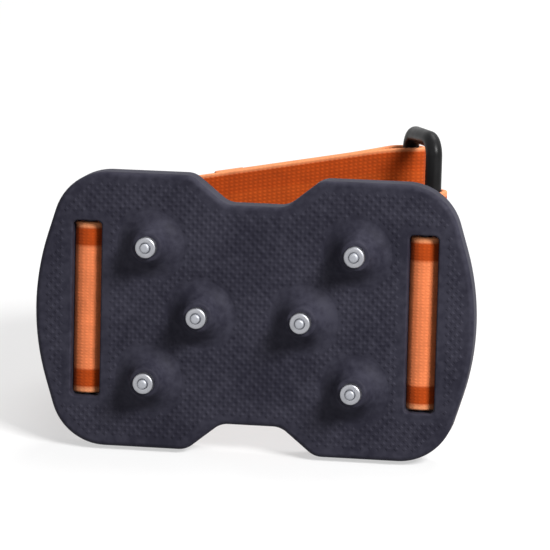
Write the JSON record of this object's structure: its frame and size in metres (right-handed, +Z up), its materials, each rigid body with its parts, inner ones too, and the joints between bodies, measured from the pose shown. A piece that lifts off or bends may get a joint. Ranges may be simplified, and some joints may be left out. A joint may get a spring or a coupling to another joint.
{
  "type": "mid-sole ice cleat",
  "caption": "Bow-tie rubber plate with steel studs in conical bosses and a webbing strap loop with a ring, worn under the arch of a boot for grip on ice.",
  "frame": {"origin": "centre of the plate's boot face", "axes": "+X along the plate, +Z up from the floor that it stands on, +Y to the back, where the strap loop is"},
  "size_m": [0.102, 0.0855, 0.0638],
  "materials": {
    "moulded_rubber": "matte, fine grain",
    "stud_steel": "turned",
    "hard_metal": "ground",
    "pin_steel": "black oxide",
    "webbing": "woven elastic webbing",
    "hook_tape": "hook tape",
    "ring_plastic": "moulded"
  },
  "bodies": {
    "plate": {"traction_plate": "moulded_rubber", "left_strap_pin": "pin_steel", "right_strap_pin": "pin_steel", "stud_1": "stud_steel", "stud_2": "stud_steel", "stud_3": "stud_steel", "stud_4": "stud_steel", "stud_5": "stud_steel", "stud_6": "stud_steel", "stud_tip_1": "hard_metal", "stud_tip_2": "hard_metal", "stud_tip_3": "hard_metal", "stud_tip_4": "hard_metal", "stud_tip_5": "hard_metal", "stud_tip_6": "hard_metal"},
    "strap_leg": {"strap_anchor_end": "webbing"},
    "strap_back": {"strap_run": "webbing"},
    "tail": {"strap_tail": "webbing", "hook_patch": "hook_tape"},
    "short_strap": {"ring_strap": "webbing"},
    "ring": {"strap_ring": "ring_plastic"}
  },
  "joints": [
    {"name": "loop_swing", "type": "hinge", "parent": "plate", "child": "strap_leg", "pos_m": [-0.039, -0.00256, 0.00048], "axis": [0, 0.1835, 0.983], "range_deg": [-50, 40]},
    {"name": "corner_bend", "type": "hinge", "parent": "strap_leg", "child": "strap_back", "pos_m": [-0.04299, 0.04254, -0.00794], "axis": [0, 0.1835, 0.983], "range_deg": [-40, 50]},
    {"name": "ring_strap_swing", "type": "hinge", "parent": "plate", "child": "short_strap", "pos_m": [0.039, -0.00256, 0.00048], "axis": [0, 0.1835, 0.983], "range_deg": [-50, 40]},
    {"name": "ring_turn", "type": "hinge", "parent": "short_strap", "child": "ring", "pos_m": [0.03501, 0.04254, -0.00794], "axis": [0, 0.1835, 0.983], "range_deg": [-40, 50]},
    {"name": "tail_peel", "type": "hinge", "parent": "strap_back", "child": "tail", "pos_m": [0.02698, 0.06135, -0.01145], "axis": [0, -0.1835, -0.983], "range_deg": [0, 100]}
  ],
  "couplings": [
    {"joint": "corner_bend", "follows": "loop_swing", "ratio": -1},
    {"joint": "ring_strap_swing", "follows": "loop_swing", "ratio": 1},
    {"joint": "ring_turn", "follows": "loop_swing", "ratio": -1}
  ]
}
